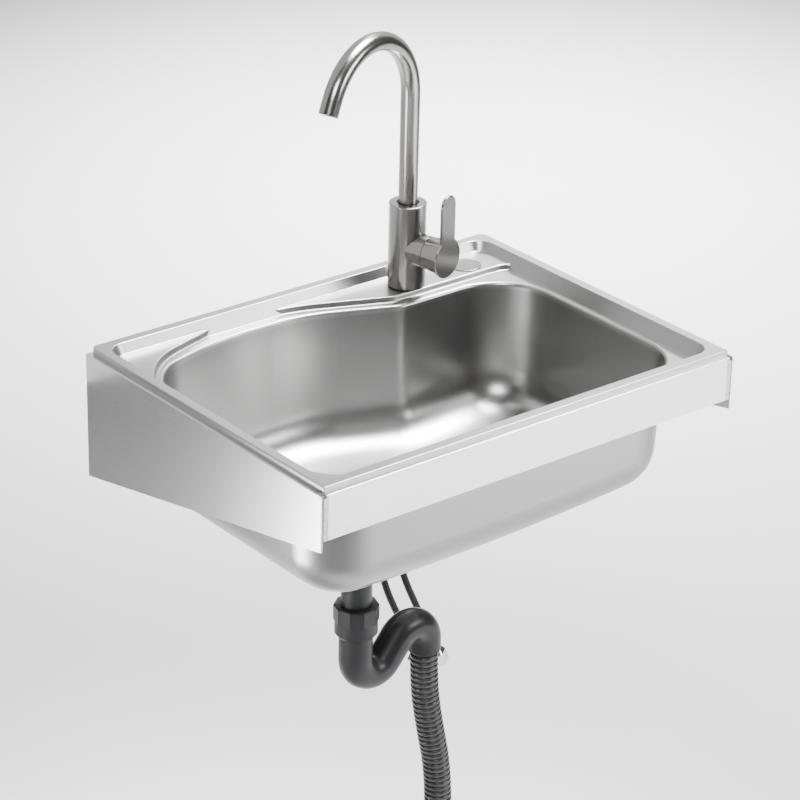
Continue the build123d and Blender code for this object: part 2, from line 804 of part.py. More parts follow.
with BuildPart() as tap_body:
    with BuildSketch(Plane.XY.offset(body_bottom)):
        with Locations((tap_x, tap_y)):
            Circle(tap_body_r)
    extrude(amount=tap_body_height)
    fillet(tap_body.faces().sort_by(Axis.Z)[-1].edges(), radius=tap_edge_r)
    with BuildSketch(branch):
        Circle(stub_r)
    extrude(amount=lever_pivot)
    with BuildSketch(branch.offset(cartridge_start)):
        Circle(cartridge_r)
    extrude(amount=lever_pivot, mode=Mode.SUBTRACT)
    with Locations(branch.offset(lever_pivot)):
        Sphere(socket_end_r, mode=Mode.SUBTRACT)
    with BuildSketch(Plane.XY.offset(body_top)):
        with Locations((tap_x, tap_y)):
            Circle(bush_r)
    extrude(amount=-spout_seat_depth, mode=Mode.SUBTRACT)
    with BuildSketch(Plane.XY.offset(spout_seat + overrun)):
        with Locations((tap_x, tap_y)):
            Circle(water_way_r)
    extrude(amount=-(spout_seat + overrun - stub_z + water_way_r), mode=Mode.SUBTRACT)
    with BuildSketch(branch):
        Circle(water_way_r - tap_edge_r)
    extrude(amount=cartridge_start + overrun, mode=Mode.SUBTRACT)
    with BuildSketch(Plane.XY.offset(body_bottom)):
        with Locations((tap_x, tap_y)):
            Circle(shank_r + running_gap)
    extrude(amount=shank_thread_depth, mode=Mode.SUBTRACT)
    with BuildSketch(Plane.XY.offset(body_bottom)):
        with Locations((tap_x - supply_spacing / 2, tap_y), (tap_x + supply_spacing / 2, tap_y)):
            Circle(nipple_r + running_gap)
    extrude(amount=shank_thread_depth + nipple_length, mode=Mode.SUBTRACT)
tap_body.part.label = "tap_body"
export_step(tap_body.part, "parts/tap_body.step")

with BuildPart() as tap_gasket:
    with BuildSketch(Plane.XY.offset(ledge_z)):
        with Locations((tap_x, tap_y)):
            Circle(tap_body_r - base_gasket_groove)
            Circle(shank_r + curve_gap, mode=Mode.SUBTRACT)
    extrude(amount=base_gasket)
tap_gasket.part.label = "tap_gasket"
export_step(tap_gasket.part, "parts/tap_gasket.step")

# gooseneck spout, which turns in its bush on two rings
spout_foot = spout_seat + bush_top_drop
spout_points = (0, spout_foot), (0, spout_bend_z)
arc_end = math.radians(180 - spout_bend_sweep)
spout_tip = (spout_bend_r + spout_bend_r * math.cos(arc_end), spout_bend_z + spout_bend_r * math.sin(arc_end))
with BuildPart() as spout:
    with BuildLine(spout_plane):
        Line(*spout_points)
        CenterArc((spout_bend_r, spout_bend_z), spout_bend_r, 180, -spout_bend_sweep)
    with BuildSketch(Plane.XY.offset(spout_foot)):
        with Locations((tap_x, tap_y)):
            Circle(spout_r)
            Circle(spout_r - spout_wall, mode=Mode.SUBTRACT)
    sweep()
    for ring in range(2):
        with BuildSketch(Plane.XY.offset(spout_foot + ring_spacing * (1 + ring))):
            with Locations((tap_x, tap_y)):
                Circle(spout_r + spout_wall)
                Circle(spout_r - ring_section_r / 2, mode=Mode.SUBTRACT)
        extrude(amount=2 * ring_section_r, mode=Mode.SUBTRACT)
spout.part.label = "spout"
export_step(spout.part, "parts/spout.step")

with BuildPart() as spout_rings:
    for ring in range(2):
        with BuildSketch(Plane.XY.offset(spout_foot + ring_spacing * (1 + ring) + running_gap)):
            with Locations((tap_x, tap_y)):
                Circle(spout_r + ring_section_r / 2)
                Circle(spout_r - ring_section_r / 2 + running_gap, mode=Mode.SUBTRACT)
        extrude(amount=2 * (ring_section_r - running_gap))
spout_rings.part.label = "spout_rings"
export_step(spout_rings.part, "parts/spout_rings.step")

with BuildPart() as spout_bush:
    with BuildSketch(Plane.XY.offset(spout_seat)):
        with Locations((tap_x, tap_y)):
            Circle(bush_r - running_gap)
    extrude(amount=bush_top - spout_seat)
    with BuildSketch(Plane.XY.offset(spout_foot - running_gap)):
        with Locations((tap_x, tap_y)):
            Circle(spout_r + ring_section_r / 2 + running_gap)
    extrude(amount=ring_spacing * 3, mode=Mode.SUBTRACT)
    with BuildSketch(Plane.XY.offset(spout_foot - running_gap)):
        with Locations((tap_x, tap_y)):
            Circle(spout_r + running_gap)
    extrude(amount=spout_seat_depth, mode=Mode.SUBTRACT)
    with BuildSketch(Plane.XY.offset(spout_seat)):
        with Locations((tap_x, tap_y)):
            Circle(spout_r - spout_wall)
    extrude(amount=bush_top_drop, mode=Mode.SUBTRACT)
spout_bush.part.label = "spout_bush"
export_step(spout_bush.part, "parts/spout_bush.step")

# aerator at the spout's tip: a chromed housing round a holed insert
tip_point = spout_plane.from_local_coords((spout_tip[0], spout_tip[1], 0))
tip_heading = spout_plane.from_local_coords(
    (spout_tip[0] + math.sin(arc_end), spout_tip[1] - math.cos(arc_end), 0)
) - tip_point
tip_plane = Plane(origin=tip_point, x_dir=spout_plane.z_dir, z_dir=tip_heading)
with BuildPart() as aerator_housing:
    with BuildSketch(tip_plane.offset(curve_gap)):
        Circle(aerator_r)
    extrude(amount=aerator_length)
    lip_edge = aerator_housing.edges().sort_by(Axis(tip_plane.origin, tip_plane.z_dir))[-1]
    fillet(lip_edge, radius=aerator_lip / 2)
    with BuildSketch(tip_plane.offset(-overrun)):
        Circle(aerator_r - aerator_lip)
    extrude(amount=aerator_length + 2 * overrun, mode=Mode.SUBTRACT)
aerator_housing.part.label = "aerator_housing"
export_step(aerator_housing.part, "parts/aerator_housing.step")

with BuildPart() as aerator_insert:
    with BuildSketch(tip_plane.offset(curve_gap)):
        Circle(aerator_r - aerator_lip - running_gap)
        with PolarLocations(aerator_ring_r, aerator_mesh_holes):
            Circle(aerator_hole_r, mode=Mode.SUBTRACT)
        with PolarLocations(aerator_ring_r / 2, aerator_mesh_holes // 2):
            Circle(aerator_hole_r, mode=Mode.SUBTRACT)
    extrude(amount=aerator_length - aerator_lip)
aerator_insert.part.label = "aerator_insert"
export_step(aerator_insert.part, "parts/aerator_insert.step")

# cartridge in the branch, its nut, the rotor that turns in it and the stem that tilts in the rotor
pivot_plane = branch.offset(lever_pivot)
pin_plane = Plane(origin=pivot_plane.origin, x_dir=stub_heading, z_dir=across_stub)
with BuildPart() as cartridge:
    with BuildSketch(branch.offset(cartridge_start)):
        Circle(cartridge_r - running_gap)
    extrude(amount=lever_pivot - cartridge_face - cartridge_start - cartridge_nut_face)
    with BuildSketch(branch.offset(cartridge_start)):
        Circle(water_way_r)
    extrude(amount=lever_pivot, mode=Mode.SUBTRACT)
cartridge.part.label = "cartridge"
export_step(cartridge.part, "parts/cartridge.step")

cartridge_front = -cartridge_face - cartridge_nut_face
with BuildPart() as cartridge_nut:
    with BuildSketch(pivot_plane.offset(cartridge_front)):
        Circle(cartridge_r - running_gap)
    extrude(amount=cartridge_nut_face)
    with BuildSketch(pivot_plane.offset(-cartridge_face)):
        Circle(cartridge_nut_dome - ring_section_r)
    extrude(amount=cartridge_face - cartridge_nut_face)
    with BuildSketch(pivot_plane.offset(cartridge_front)):
        Circle(rotor_r + running_gap)
    extrude(amount=lever_pivot, mode=Mode.SUBTRACT)
cartridge_nut.part.label = "cartridge_nut"
export_step(cartridge_nut.part, "parts/cartridge_nut.step")

with BuildPart() as mixer_rotor:
    with BuildSketch(pivot_plane.offset(cartridge_front + curve_gap)):
        Circle(rotor_r)
    extrude(amount=rotor_front - cartridge_front - curve_gap)
    with BuildSketch(pivot_plane.offset(rotor_front)):
        Rectangle(stem_width + 2 * stem_gap, 3 * rotor_r)
    extrude(amount=-(rotor_front + stem_back + 2 * pin_r), mode=Mode.SUBTRACT)
    with BuildSketch(pin_plane):
        Circle(pin_r)
    extrude(amount=rotor_r, both=True, mode=Mode.SUBTRACT)
mixer_rotor.part.label = "mixer_rotor"
export_step(mixer_rotor.part, "parts/mixer_rotor.step")

with BuildPart() as stem_pin:
    with BuildSketch(pin_plane):
        Circle(pin_r - running_gap)
    extrude(amount=rotor_r - tap_edge_r, both=True)
stem_pin.part.label = "stem_pin"
export_step(stem_pin.part, "parts/stem_pin.step")

with BuildPart() as lever_stem:
    with BuildSketch(pivot_plane.offset(-stem_back)):
        Rectangle(stem_width, stem_width)
    extrude(amount=stem_back + cap_face)
    with BuildSketch(pin_plane):
        Circle(pin_r)
    extrude(amount=rotor_r, both=True, mode=Mode.SUBTRACT)
lever_stem.part.label = "lever_stem"
export_step(lever_stem.part, "parts/lever_stem.step")

# lever: a hollow cap over the branch's end, closed by a flat plate that rises into the blade
plate_plane = pivot_plane.offset(cap_face)
screw_origin = pivot_plane.offset((cap_cavity_front + cap_face) / 2).origin
screw_plane = Plane(origin=screw_origin, x_dir=across_stub, z_dir=(0, 0, -1))
blade_r = lever_width / 2
with BuildPart() as lever:
    with BuildSketch(pivot_plane.offset(-math.sqrt(ball_r**2 - stub_r**2))):
        Circle(stub_r)
    extrude(amount=math.sqrt(ball_r**2 - stub_r**2) + cap_face, taper=-cap_flare)
    with BuildSketch(pivot_plane.offset(cap_cavity_front)):
        Circle(cap_inner_r)
    extrude(amount=-lever_pivot, mode=Mode.SUBTRACT)
    with BuildSketch(plate_plane) as plate:
        Circle(disc_r)
        with Locations((0, (lever_height - blade_r) / 2)):
            Rectangle(lever_width, lever_height - blade_r)
        with Locations((0, lever_height - blade_r)):
            Circle(blade_r)
        fillet(plate.vertices().group_by(Axis.Y)[1], radius=lever_neck)
    extrude(amount=plate_thickness)
    fillet(lever.faces().sort_by(Axis(branch.origin, branch.z_dir))[-1].edges(), radius=tap_edge_r)
    with BuildSketch(plate_plane):
        Rectangle(stem_width + 2 * stem_gap, stem_width + 2 * stem_gap)
    extrude(amount=-cap_face, mode=Mode.SUBTRACT)
    with BuildSketch(screw_plane):
        Circle(set_screw_r)
    extrude(amount=disc_r, mode=Mode.SUBTRACT)
lever.part.label = "lever"
export_step(lever.part, "parts/lever.step")

with BuildPart() as set_screw:
    with BuildSketch(screw_plane.offset(stem_width / 2)):
        Circle(set_screw_r - running_gap)
    extrude(amount=set_screw_length)
set_screw.part.label = "set_screw"
export_step(set_screw.part, "parts/set_screw.step")

# fixing under the deck
with BuildPart() as tap_shank:
    with BuildSketch(Plane.XY.offset(body_bottom + shank_thread_depth)):
        with Locations((tap_x, tap_y)):
            Circle(shank_r)
            Circle(shank_bore_r, mode=Mode.SUBTRACT)
    extrude(amount=-(shank_thread_depth + base_gasket + shank_length))
tap_shank.part.label = "tap_shank"
export_step(tap_shank.part, "parts/tap_shank.step")


def shank_ring(top, height, outer):
    """A ring on the shank below this height."""
    with BuildPart() as ring:
        with BuildSketch(Plane.XY.offset(top)):
            with Locations((tap_x, tap_y)):
                Circle(outer)
                Circle(shank_r + curve_gap, mode=Mode.SUBTRACT)
        extrude(amount=-height)
    return ring.part


deck_washer = shank_ring(deck_under, deck_washer_thickness, deck_washer_r)
deck_washer.label = "deck_washer"
export_step(deck_washer, "parts/deck_washer.step")
clamp_washer = shank_ring(deck_under - deck_washer_thickness, steel_washer_thickness, deck_washer_r)
clamp_washer.label = "clamp_washer"
export_step(clamp_washer, "parts/clamp_washer.step")

with BuildPart() as fixing_nut:
    with BuildSketch(Plane.XY.offset(deck_under - deck_washer_thickness - steel_washer_thickness)):
        with Locations((tap_x, tap_y)):
            RegularPolygon(fixing_nut_r, 6)
            Circle(shank_r + running_gap, mode=Mode.SUBTRACT)
    extrude(amount=-fixing_nut_height)
fixing_nut.part.label = "fixing_nut"
export_step(fixing_nut.part, "parts/fixing_nut.step")

nipple_top = body_bottom + shank_thread_depth + nipple_length
with BuildPart() as hose_nipples:
    with BuildSketch(Plane.XY.offset(supply_top)):
        with Locations((tap_x - supply_spacing / 2, tap_y), (tap_x + supply_spacing / 2, tap_y)):
            Circle(nipple_r)
            Circle(supply_bore_r, mode=Mode.SUBTRACT)
    extrude(amount=nipple_top - supply_top)
hose_nipples.part.label = "hose_nipples"
export_step(hose_nipples.part, "parts/hose_nipples.step")


# supply hoses, each with a crimped ferrule and a union nut at its free end
def supply_hose(name, route):
    points = [(tap_x + x, tap_y, z) for x, z in route]
    radii = route_radii(points)
    print(name, "radii", [round(radius) for radius in radii])
    with BuildPart() as hose:
        with BuildLine() as line:
            FilletPolyline(*points, radius=radii)
        start = Plane(origin=line.wire().position_at(0), z_dir=line.wire().tangent_at(0))
        with BuildSketch(start):
            Circle(supply_r)
        sweep()
        end = Plane(origin=line.wire().position_at(1), z_dir=line.wire().tangent_at(1), x_dir=(0, 1, 0))
    print(name, "length", line.wire().length, "volume ratio",
          hose.part.volume / (math.pi * supply_r**2 * line.wire().length))
    with BuildPart() as ferrule:
        with BuildSketch(end):
            Circle(ferrule_r)
            Circle(supply_bore_r, mode=Mode.SUBTRACT)
        extrude(amount=ferrule_length)
    with BuildPart() as union:
        with BuildSketch(end.offset(ferrule_length)):
            RegularPolygon(union_r, 6)
            Circle(supply_bore_r, mode=Mode.SUBTRACT)
        extrude(amount=union_height)
        with BuildSketch(end.offset(ferrule_length + union_height)):
            Circle(union_bore_r)
        extrude(amount=-union_depth, mode=Mode.SUBTRACT)
    print(name, "union mouth", end.offset(ferrule_length + union_height).origin, "axis", end.z_dir)
    return hose.part, ferrule.part, union.part


for name, route in (("cold", cold_route), ("hot", hot_route)):
    hose_part, ferrule_part, union_part = supply_hose(name, route)
    hose_part.label = f"{name}_hose"
    export_step(hose_part, f"parts/{name}_hose.step")
    ferrule_part.label = f"{name}_ferrule"
    export_step(ferrule_part, f"parts/{name}_ferrule.step")
    union_part.label = f"{name}_union_nut"
    export_step(union_part, f"parts/{name}_union_nut.step")
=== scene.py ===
import bpy
import json
import math
from mathutils import Matrix, Vector

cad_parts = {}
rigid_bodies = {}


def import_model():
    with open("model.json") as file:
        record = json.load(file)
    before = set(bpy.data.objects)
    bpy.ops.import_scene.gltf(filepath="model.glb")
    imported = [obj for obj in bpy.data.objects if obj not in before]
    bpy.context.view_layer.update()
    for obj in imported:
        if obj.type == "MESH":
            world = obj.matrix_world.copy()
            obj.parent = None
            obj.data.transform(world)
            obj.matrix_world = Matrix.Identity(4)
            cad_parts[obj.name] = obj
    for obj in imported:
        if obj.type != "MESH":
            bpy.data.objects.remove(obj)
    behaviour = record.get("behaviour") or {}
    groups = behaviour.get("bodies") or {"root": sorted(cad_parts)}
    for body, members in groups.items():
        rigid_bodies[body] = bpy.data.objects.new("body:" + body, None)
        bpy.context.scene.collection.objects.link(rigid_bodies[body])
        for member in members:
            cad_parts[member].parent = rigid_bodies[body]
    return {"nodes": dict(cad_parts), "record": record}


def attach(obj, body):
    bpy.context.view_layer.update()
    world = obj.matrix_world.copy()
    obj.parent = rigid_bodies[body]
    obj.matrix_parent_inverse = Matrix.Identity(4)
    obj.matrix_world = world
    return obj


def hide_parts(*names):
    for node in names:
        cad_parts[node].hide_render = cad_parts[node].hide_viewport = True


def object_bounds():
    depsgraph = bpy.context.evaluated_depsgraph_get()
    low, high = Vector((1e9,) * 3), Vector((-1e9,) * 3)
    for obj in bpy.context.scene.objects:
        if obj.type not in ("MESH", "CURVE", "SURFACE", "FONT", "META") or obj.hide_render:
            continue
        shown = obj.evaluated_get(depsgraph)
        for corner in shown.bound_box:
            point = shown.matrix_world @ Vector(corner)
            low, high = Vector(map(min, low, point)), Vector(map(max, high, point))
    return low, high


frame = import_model()
cadBox = [list(corner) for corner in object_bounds()]

# Blender's lengths are metres; the sink's own tables are in millimetres and the stage's in metres
mm = 0.001


def at(*place):
    return Vector(place) * mm


def deselectAll():
    for other in bpy.context.view_layer.objects:
        other.select_set(False)


def pick(piece):
    deselectAll()
    piece.select_set(True)
    bpy.context.view_layer.objects.active = piece


def applyModifiers(piece):
    pick(piece)
    for modifier in list(piece.modifiers):
        bpy.ops.object.modifier_apply(modifier=modifier.name)


def settle(piece):
    # place, turn and scale go into the mesh
    pick(piece)
    bpy.ops.object.transform_apply(location=True, rotation=True, scale=True)


# camera: the photograph's view; only its clip distances are in metres
cameraView = {"azimuth": -39.2918, "elevation": 25.4317, "roll": 1.3507, "distance": 3903.39,
              "aim": (170.89, 0.0, -113.97), "lens": 136.45, "sensor": 36.0, "clip": (0.05, 60)}


def makeCamera(view):
    azimuth, elevation, roll = (math.radians(view[key]) for key in ("azimuth", "elevation", "roll"))
    back = Vector((math.sin(azimuth) * math.cos(elevation), -math.cos(azimuth) * math.cos(elevation),
                   math.sin(elevation)))
    level = Vector((math.cos(azimuth), math.sin(azimuth), 0))
    upright = back.cross(level)
    right = level * math.cos(roll) + upright * math.sin(roll)
    up = upright * math.cos(roll) - level * math.sin(roll)
    data = bpy.data.cameras.new("photoCamera")
    data.lens, data.sensor_width = view["lens"], view["sensor"]
    data.clip_start, data.clip_end = view["clip"]
    camera = bpy.data.objects.new("photoCamera", data)
    bpy.context.scene.collection.objects.link(camera)
    turn = Matrix((right, up, back)).transposed().to_4x4()
    camera.matrix_world = Matrix.Translation(at(*view["aim"]) + back * view["distance"] * mm) @ turn
    bpy.context.scene.camera = camera


makeCamera(cameraView)
print("camera set")


# shader maths: one wire is one socket, and an expression on wires adds its own nodes
class Wire:
    def __init__(self, shader, socket):
        self.shader, self.socket = shader, socket

    def maths(self, operation, *values):
        return self.shader.node("ShaderNodeMath", {"operation": operation}, dict(enumerate(values)))

    def __add__(self, other):
        return self.maths("ADD", self, other)

    def __radd__(self, other):
        return self.maths("ADD", other, self)

    def __sub__(self, other):
        return self.maths("SUBTRACT", self, other)

    def __rsub__(self, other):
        return self.maths("SUBTRACT", other, self)

    def __mul__(self, other):
        return self.maths("MULTIPLY", self, other)

    def __rmul__(self, other):
        return self.maths("MULTIPLY", other, self)

    def __abs__(self):
        return self.maths("ABSOLUTE", self)

    def below(self, edge, soft):
        # 1 where the value is under the edge, fading to 0 over the soft width
        return self.shader.node("ShaderNodeMapRange", {"interpolation_type": "SMOOTHSTEP"},
                                {0: self, 1: edge, 2: edge + soft, 3: 1.0, 4: 0.0})


socketNames = {"colour": "Base Color", "roughness": "Roughness", "metallic": "Metallic", "normal": "Normal",
               "specular": "Specular IOR Level"}

# each noise pattern's detail and roughness, and the value that all of them vary about
patterns = {"streak": (3.0, 0.6), "cloud": (2.0, 0.5), "mottle": (4.0, 0.7), "grain": (3.0, 0.6),
            "marks": (3.0, 0.55)}
noiseMiddle = 0.5


class Shader:
    def __init__(self, name):
        self.material = bpy.data.materials.new(name)
        self.material.use_nodes = True
        self.tree = self.material.node_tree
        self.surface = self.tree.nodes["Principled BSDF"]

    def node(self, kind, settings, values, output=0):
        made = self.tree.nodes.new(kind)
        for key, value in settings.items():
            setattr(made, key, value)
        for key, value in values.items():
            self.connect(made.inputs[key], value)
        return Wire(self, made.outputs[output])

    def connect(self, socket, value):
        if isinstance(value, Wire):
            self.tree.links.new(value.socket, socket)
        else:
            socket.default_value = value

    def place(self):
        return self.node("ShaderNodeTexCoord", {}, {}, "Object")

    def axes(self, place):
        return [self.node("ShaderNodeSeparateXYZ", {}, {0: place}, axis) for axis in range(3)]

    def stretched(self, place, scale):
        return self.node("ShaderNodeMapping", {}, {"Vector": place, "Scale": scale})

    def noise(self, place, scale, pattern):
        detail, rough = patterns[pattern]
        return self.node("ShaderNodeTexNoise", {},
                         {"Vector": place, "Scale": scale, "Detail": detail, "Roughness": rough}, "Fac")

    def mix(self, mask, first, second):
        # the node's inputs 6 and 7 and its output 2 are its colours
        return self.node("ShaderNodeMix", {"data_type": "RGBA"}, {0: mask, 6: first, 7: second}, 2)

    def bump(self, height, distance):
        return self.node("ShaderNodeBump", {}, {"Height": height, "Distance": distance})

    def feed(self, **sockets):
        for name, value in sockets.items():
            self.connect(self.surface.inputs[socketNames[name]], value)
        return self.material


def grey(value, warm=0.0):
    return (value + warm, value, value - warm, 1.0)


# steel and plated pieces: fine streaks and a cloudy sheen; depth is the bump's, in millimetres
steelLooks = {
    "bracketSteel": {
        "streak": (2.0, 2.0, 900.0), "cloud": 5.0, "contrast": 0.5, "cloudContrast": 0.5, "dark": 0.60,
        "light": 0.78, "warm": 0.0, "roughness": 0.26, "roughnessSpread": 0.12, "depth": 0.02,
        "weld": {"halfWidth": 305.5, "front": 455.0, "width": 9.0, "widthFade": 0.6, "depth": 2.0,
                 "depthFade": 0.4, "mottle": 260.0, "dark": 0.22, "darkGain": 1.3, "darkCut": 0.25,
                 "roughGain": 0.5, "roughCut": 0.1, "relief": 3.0}},
    "sinkSteel": {
        "streak": (700.0, 700.0, 700.0), "cloud": 4.0, "contrast": 0.25, "cloudContrast": 0.35, "dark": 0.32,
        "light": 0.42, "warm": 0.002, "roughness": 0.30, "roughnessSpread": 0.08, "depth": 0.01,
        # the bowl's wall grey is painted shade and its floor grey a painted highlight
        "bowl": {"top": 60.0, "topFade": 4.0, "foot": -100.0, "footFade": 12.0, "wallShadeGrey": 0.27,
                 "floorGrey": 0.8, "floorSoft": 0.08}},
    "tapSteel": {
        "streak": (40.0, 40.0, 1600.0), "cloud": 20.0, "contrast": 0.6, "cloudContrast": 0.3, "dark": 0.25,
        "light": 0.37, "warm": 0.006, "roughness": 0.22, "roughnessSpread": 0.10, "depth": 0.03},
    "zincSteel": {
        "streak": (300.0, 300.0, 300.0), "cloud": 60.0, "contrast": 0.4, "cloudContrast": 0.4, "dark": 0.42,
        "light": 0.55, "warm": 0.01, "roughness": 0.35, "roughnessSpread": 0.1, "depth": 0.01},
    "platedBrass": {
        "streak": (200.0, 200.0, 200.0), "cloud": 40.0, "contrast": 0.2, "cloudContrast": 0.2, "dark": 0.55,
        "light": 0.66, "warm": 0.012, "roughness": 0.16, "roughnessSpread": 0.06, "depth": 0.004},
}


def brushedSteel(name, look):
    shader = Shader(name)
    place = shader.place()
    streak = shader.noise(shader.stretched(place, look["streak"]), 1.0, "streak")
    cloud = shader.noise(place, look["cloud"], "cloud")
    sheen = (streak - noiseMiddle) * look["contrast"] + (cloud - noiseMiddle) * look["cloudContrast"]
    colour = shader.mix(sheen + noiseMiddle, grey(look["dark"], look["warm"]),
                        grey(look["light"], look["warm"]))
    roughness = look["roughness"] - sheen * look["roughnessSpread"]
    height = streak
    if "bowl" in look:
        # painted light: the bowl's walls get a darker grey as painted shade, and its floor a pale grey as a
        # painted highlight; the floor is also a little rougher
        bowl = look["bowl"]
        level = shader.axes(place)[2]
        wall = level.below(bowl["top"] * mm, bowl["topFade"] * mm)
        floorHighlightMask = level.below(bowl["foot"] * mm, bowl["footFade"] * mm)
        # painted shade: the walls below the ledge are darker
        colour = shader.mix(wall, colour, grey(bowl["wallShadeGrey"], look["warm"]))
        # painted highlight: the floor is pale
        colour = shader.mix(floorHighlightMask, colour, grey(bowl["floorGrey"], look["warm"]))
        roughness = roughness + floorHighlightMask * bowl["floorSoft"]
    if "weld" in look:
        # the welds at the two front corners are ground to a mottled patch
        weld = look["weld"]
        x, y = shader.axes(place)[:2]
        edge = (weld["halfWidth"] * mm - abs(x)).below(weld["width"] * mm, weld["widthFade"] * mm)
        front = (y + weld["front"] * mm).below(weld["depth"] * mm, weld["depthFade"] * mm)
        mottle = shader.noise(place, weld["mottle"], "mottle")
        patch = edge * front
        darkness = patch * (mottle * weld["darkGain"] - weld["darkCut"])
        colour = shader.mix(darkness, colour, grey(weld["dark"]))
        roughness = roughness + patch * (mottle * weld["roughGain"] - weld["roughCut"])
        height = height + patch * mottle * weld["relief"]
    return shader.feed(colour=colour, metallic=1.0, roughness=roughness,
                       normal=shader.bump(height, look["depth"] * mm))


# moulded plastic and rubber: a faint grain and handling marks; depth is the bump's, in millimetres
plasticLooks = {
    "trapPlastic": {
        "grain": 900.0, "marks": 30.0, "dark": (0.012, 0.012, 0.013, 1), "light": (0.022, 0.022, 0.024, 1),
        "roughness": 0.34, "specular": 0.26, "spread": 0.16, "depth": 0.03,
        "seam": {"turn": 4.7, "x": -81.6, "y": -235.0, "halfWidth": 0.3, "fade": 0.4, "relief": 12.0}},
    "hosePlastic": {
        "grain": 700.0, "marks": 45.0, "dark": (0.013, 0.013, 0.014, 1), "light": (0.032, 0.032, 0.034, 1),
        "roughness": 0.18, "specular": 0.4, "spread": 0.10, "depth": 0.02},
    "supplySleeve": {
        "grain": 1500.0, "marks": 90.0, "dark": (0.002, 0.002, 0.003, 1), "light": (0.006, 0.006, 0.007, 1),
        "roughness": 0.14, "specular": 0.16, "spread": 0.06, "depth": 0.01},
    "sealRubber": {
        "grain": 500.0, "marks": 50.0, "dark": (0.02, 0.02, 0.021, 1), "light": (0.035, 0.035, 0.036, 1),
        "roughness": 0.6, "specular": 0.3, "spread": 0.16, "depth": 0.03},
    "bushPlastic": {
        "grain": 500.0, "marks": 50.0, "dark": (0.03, 0.03, 0.03, 1), "light": (0.05, 0.05, 0.05, 1),
        "roughness": 0.45, "specular": 0.3, "spread": 0.1, "depth": 0.02},
    "cartridgePlastic": {
        "grain": 500.0, "marks": 50.0, "dark": (0.62, 0.62, 0.58, 1), "light": (0.72, 0.72, 0.68, 1),
        "roughness": 0.4, "specular": 0.4, "spread": 0.1, "depth": 0.02},
}


def mouldedPlastic(name, look):
    shader = Shader(name)
    place = shader.place()
    grain = shader.noise(place, look["grain"], "grain")
    marks = shader.noise(place, look["marks"], "marks")
    colour = shader.mix(marks, look["dark"], look["light"])
    height = grain
    if "seam" in look:
        # the mould's parting line lies in the trap's own plane
        seam = look["seam"]
        x, y = shader.axes(place)[:2]
        turn = math.radians(seam["turn"])
        across = (y - seam["y"] * mm) * math.cos(turn) - (x - seam["x"] * mm) * math.sin(turn)
        height = height + abs(across).below(seam["halfWidth"] * mm, seam["fade"] * mm) * seam["relief"]
    roughness = look["roughness"] + (marks - noiseMiddle) * look["spread"]
    return shader.feed(colour=colour, metallic=0.0, roughness=roughness, specular=look["specular"],
                       normal=shader.bump(height, look["depth"] * mm))


finishes = {name: brushedSteel(name, look) for name, look in steelLooks.items()}
finishes.update({name: mouldedPlastic(name, look) for name, look in plasticLooks.items()})
slotFinishes = {
    "sink_steel": "sinkSteel", "bracket_steel": "bracketSteel", "strainer_steel": "sinkSteel",
    "tap_steel": "tapSteel", "zinc_steel": "zincSteel", "plated_brass": "platedBrass",
    "grey_plastic": "trapPlastic", "hose_plastic": "hosePlastic", "braided_hose": "supplySleeve",
    "seal_rubber": "sealRubber", "bush_plastic": "bushPlastic", "cartridge_plastic": "cartridgePlastic",
}
for part in frame["record"]["subparts"]:
    shown = frame["nodes"][part["node"]]
    shown.data.materials.clear()
    shown.data.materials.append(finishes[slotFinishes[part["material_slot"]]])
print("finishes on the packed parts")

# cords: each on one smooth line through its route
routeLook = {"steps": 16, "order": 3}


def routeCurve(name, points):
    data = bpy.data.curves.new(name, "CURVE")
    data.dimensions = "3D"
    data.resolution_u = routeLook["steps"]
    spline = data.splines.new("NURBS")
    spline.points.add(len(points) - 1)
    for point, place in zip(spline.points, points):
        point.co = (*place, 1.0)
    spline.order_u = routeLook["order"]
    spline.use_endpoint_u = True
    curve = bpy.data.objects.new(name, data)
    bpy.context.scene.collection.objects.link(curve)
    return curve


def linePoints(curve):
    bpy.context.view_layer.update()
    line = bpy.data.meshes.new_from_object(curve)
    points = [vertex.co.copy() for vertex in line.vertices]
    bpy.data.meshes.remove(line)
    return points


def lineLength(points):
    return sum((after - before).length for before, after in zip(points, points[1:]))


# the route is x and z from the outlet; the profile is one rib, in shares of its pitch and radii
wasteHoseShape = {
    "outlet": (34.01, -225.495, -312.4),
    "route": ((0, 0), (0.5, -66), (12, -130), (26, -192), (31, -253), (30, -315), (28, -377), (28, -437.6)),
    "ribs": 59, "sides": 40, "crest": 16.5, "groove": 14.3, "wall": 1.3, "merge": 0.02, "smoothAngle": 50,
    "profile": ((0.06, 14.5), (0.07, 15.6), (0.06, 16.25), (0.10, 16.5), (0.20, 16.5), (0.10, 16.25),
                (0.06, 15.6), (0.07, 14.5), (0.28, 14.3)),
}


